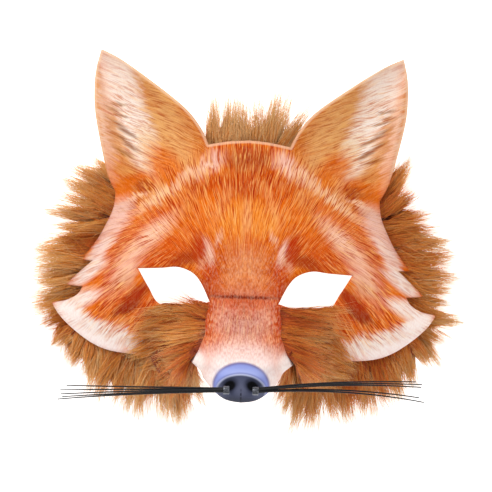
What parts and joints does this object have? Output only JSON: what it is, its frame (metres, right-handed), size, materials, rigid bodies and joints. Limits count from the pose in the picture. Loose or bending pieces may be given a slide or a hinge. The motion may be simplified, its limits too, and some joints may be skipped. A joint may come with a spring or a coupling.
{
  "type": "fox half mask",
  "caption": "Half mask of a fox's upper face, with standing ears, cut eye holes, a short snout with bristle whiskers, and fur at its edges.",
  "frame": {"origin": "on the surface the mask lies on, under the middle of its outline", "axes": "+Z out of the face, +Y towards the ears, +X to the right of the face as it is looked at"},
  "size_m": [0.2254, 0.2016, 0.1114],
  "materials": {
    "print": "short plush printed with fox fur, orange fading to pale pink at the edges, slate and lilac at the nose",
    "fur": "long golden brown faux fur with paler tips",
    "bristle": "black nylon, satin",
    "crimp": "bright tube"
  },
  "bodies": {
    "root": {"face_shell": "print", "crown_ruff": "fur", "side_ruff_left": "fur", "side_ruff_right": "fur", "cheek_fur_left": "fur", "cheek_fur_right": "fur", "whisker_left_1": "bristle", "whisker_left_2": "bristle", "whisker_left_3": "bristle", "whisker_left_4": "bristle", "whisker_left_5": "bristle", "whisker_right_1": "bristle", "whisker_right_2": "bristle", "whisker_right_3": "bristle", "whisker_right_4": "bristle", "whisker_right_5": "bristle", "whisker_crimp_left": "crimp", "whisker_crimp_right": "crimp"}
  },
  "joints": []
}
